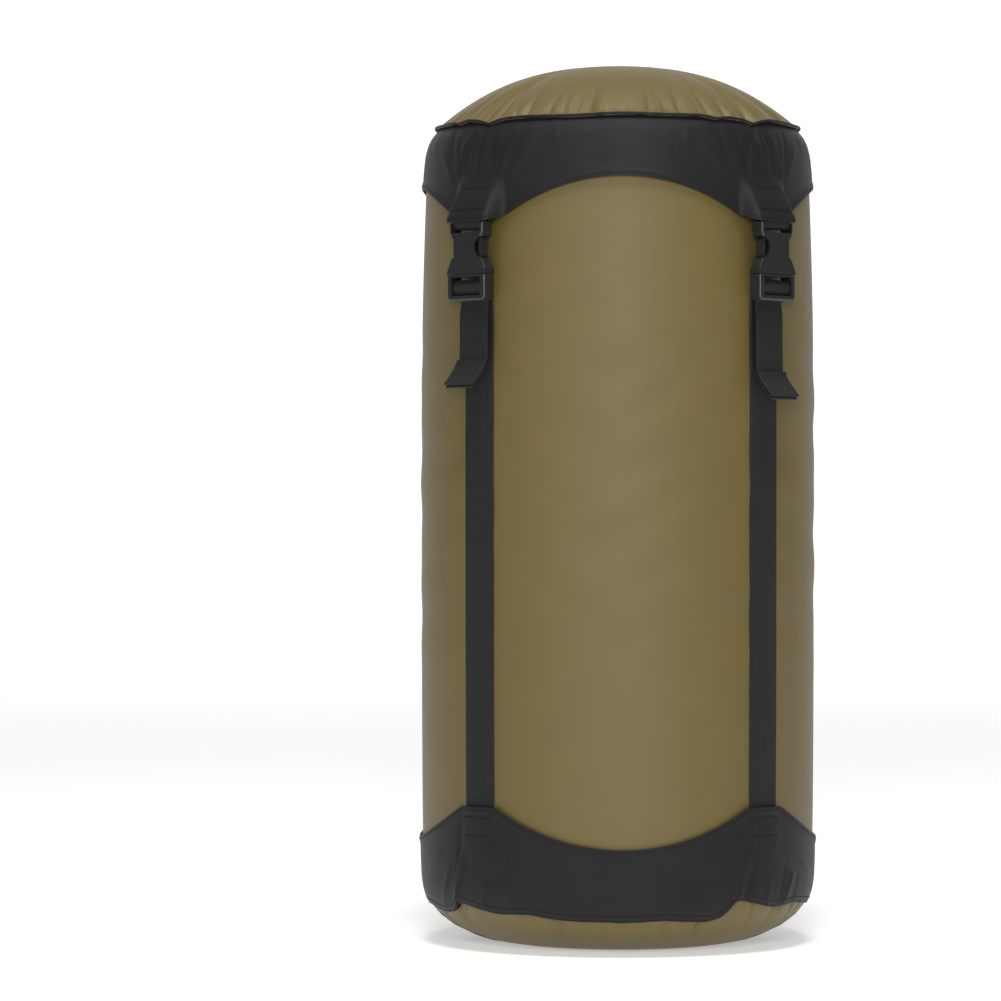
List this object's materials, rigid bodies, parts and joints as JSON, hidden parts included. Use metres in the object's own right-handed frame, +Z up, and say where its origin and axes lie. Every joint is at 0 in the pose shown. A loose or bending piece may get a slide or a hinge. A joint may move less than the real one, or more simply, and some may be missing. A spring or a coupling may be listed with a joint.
{
  "type": "compression sack",
  "caption": "Cylindrical strap-and-buckle compression sack with a domed lid that squeezes packed clothing to about half its height.",
  "frame": {"origin": "centre of the sack's flat base, on the surface it stands on", "axes": "+Z up along the sack's axis from base to lid; the front, between two straps, faces -Y; +X is to the front's right"},
  "size_m": [0.2094, 0.2094, 0.466],
  "materials": {
    "khaki_nylon": "matte",
    "black_nylon": "matte",
    "black_webbing": "matte",
    "black_cord": "matte",
    "black_plastic": "satin",
    "spring_steel": "satin"
  },
  "bodies": {
    "base": {"base_panel": "khaki_nylon", "lower_yoke": "black_nylon", "base_handle": "black_webbing", "body_tube_1": "khaki_nylon", "load_strap_front_right": "black_webbing", "load_strap_back_right": "black_webbing", "load_strap_back_left": "black_webbing", "load_strap_front_left": "black_webbing"},
    "tube_2": {"body_tube_2": "khaki_nylon"},
    "tube_3": {"body_tube_3": "khaki_nylon"},
    "crown": {"body_tube_4": "khaki_nylon", "mouth_collar": "black_nylon", "drawcord_hem": "black_nylon", "drawcord": "black_cord", "cord_lock_body": "black_plastic", "cord_lock_spring": "spring_steel"},
    "cord_lock_button": {"cord_lock_plunger": "black_plastic"},
    "lid": {"lid_panel": "khaki_nylon", "upper_yoke": "black_nylon", "buckle_loop_front_right": "black_webbing", "buckle_loop_back_right": "black_webbing", "buckle_loop_back_left": "black_webbing", "buckle_loop_front_left": "black_webbing", "buckle_socket_front_right": "black_plastic", "buckle_socket_back_right": "black_plastic", "buckle_socket_back_left": "black_plastic", "buckle_socket_front_left": "black_plastic"},
    "plug_front_right": {"buckle_plug_front_right": "black_plastic", "strap_tail_front_right": "black_webbing"},
    "arm_front_right_left": {"release_arm_front_right_left": "black_plastic"},
    "arm_front_right_right": {"release_arm_front_right_right": "black_plastic"},
    "plug_back_right": {"buckle_plug_back_right": "black_plastic", "strap_tail_back_right": "black_webbing"},
    "arm_back_right_left": {"release_arm_back_right_left": "black_plastic"},
    "arm_back_right_right": {"release_arm_back_right_right": "black_plastic"},
    "plug_back_left": {"buckle_plug_back_left": "black_plastic", "strap_tail_back_left": "black_webbing"},
    "arm_back_left_left": {"release_arm_back_left_left": "black_plastic"},
    "arm_back_left_right": {"release_arm_back_left_right": "black_plastic"},
    "plug_front_left": {"buckle_plug_front_left": "black_plastic", "strap_tail_front_left": "black_webbing"},
    "arm_front_left_left": {"release_arm_front_left_left": "black_plastic"},
    "arm_front_left_right": {"release_arm_front_left_right": "black_plastic"}
  },
  "joints": [
    {"name": "compress", "type": "slide", "parent": "base", "child": "crown", "axis": [0, 0, 1], "range_m": [-0.26, 0], "deforming": ["load_strap_front_right", "load_strap_back_right", "load_strap_back_left", "load_strap_front_left"]},
    {"name": "tube_2_slide", "type": "slide", "parent": "base", "child": "tube_2", "axis": [0, 0, 1], "range_m": [-0.08667, 0]},
    {"name": "tube_3_slide", "type": "slide", "parent": "base", "child": "tube_3", "axis": [0, 0, 1], "range_m": [-0.17333, 0]},
    {"name": "lid_lift", "type": "slide", "parent": "crown", "child": "lid", "axis": [0, 0, 1], "range_m": [0, 0.15]},
    {"name": "cord_lock_press", "type": "slide", "parent": "crown", "child": "cord_lock_button", "axis": [1, 0, 0], "range_m": [-0.0025, 0], "stiffness_N_per_m": 600, "deforming": ["cord_lock_spring"]},
    {"name": "unclip_front_right", "type": "slide", "parent": "crown", "child": "plug_front_right", "axis": [0, 0, 1], "range_m": [-0.022, 0]},
    {"name": "squeeze_front_right_left", "type": "hinge", "parent": "plug_front_right", "child": "arm_front_right_left", "pos_m": [0.07181, -0.08439, 0.3546], "axis": [-0.7071, 0.7071, 0], "range_deg": [0, 8], "stiffness_Nm_per_rad": 1.2},
    {"name": "squeeze_front_right_right", "type": "hinge", "parent": "plug_front_right", "child": "arm_front_right_right", "pos_m": [0.08439, -0.07181, 0.3546], "axis": [-0.7071, 0.7071, 0], "range_deg": [-8, 0], "stiffness_Nm_per_rad": 1.2},
    {"name": "unclip_back_right", "type": "slide", "parent": "crown", "child": "plug_back_right", "axis": [0, 0, 1], "range_m": [-0.022, 0]},
    {"name": "squeeze_back_right_left", "type": "hinge", "parent": "plug_back_right", "child": "arm_back_right_left", "pos_m": [0.08439, 0.07181, 0.3546], "axis": [-0.7071, -0.7071, 0], "range_deg": [0, 8], "stiffness_Nm_per_rad": 1.2},
    {"name": "squeeze_back_right_right", "type": "hinge", "parent": "plug_back_right", "child": "arm_back_right_right", "pos_m": [0.07181, 0.08439, 0.3546], "axis": [-0.7071, -0.7071, 0], "range_deg": [-8, 0], "stiffness_Nm_per_rad": 1.2},
    {"name": "unclip_back_left", "type": "slide", "parent": "crown", "child": "plug_back_left", "axis": [0, 0, 1], "range_m": [-0.022, 0]},
    {"name": "squeeze_back_left_left", "type": "hinge", "parent": "plug_back_left", "child": "arm_back_left_left", "pos_m": [-0.07181, 0.08439, 0.3546], "axis": [0.7071, -0.7071, 0], "range_deg": [0, 8], "stiffness_Nm_per_rad": 1.2},
    {"name": "squeeze_back_left_right", "type": "hinge", "parent": "plug_back_left", "child": "arm_back_left_right", "pos_m": [-0.08439, 0.07181, 0.3546], "axis": [0.7071, -0.7071, 0], "range_deg": [-8, 0], "stiffness_Nm_per_rad": 1.2},
    {"name": "unclip_front_left", "type": "slide", "parent": "crown", "child": "plug_front_left", "axis": [0, 0, 1], "range_m": [-0.022, 0]},
    {"name": "squeeze_front_left_left", "type": "hinge", "parent": "plug_front_left", "child": "arm_front_left_left", "pos_m": [-0.08439, -0.07181, 0.3546], "axis": [0.7071, 0.7071, 0], "range_deg": [0, 8], "stiffness_Nm_per_rad": 1.2},
    {"name": "squeeze_front_left_right", "type": "hinge", "parent": "plug_front_left", "child": "arm_front_left_right", "pos_m": [-0.07181, -0.08439, 0.3546], "axis": [0.7071, 0.7071, 0], "range_deg": [-8, 0], "stiffness_Nm_per_rad": 1.2}
  ],
  "couplings": [
    {"joint": "tube_2_slide", "follows": "compress", "ratio": 0.33333},
    {"joint": "tube_3_slide", "follows": "compress", "ratio": 0.66667}
  ]
}
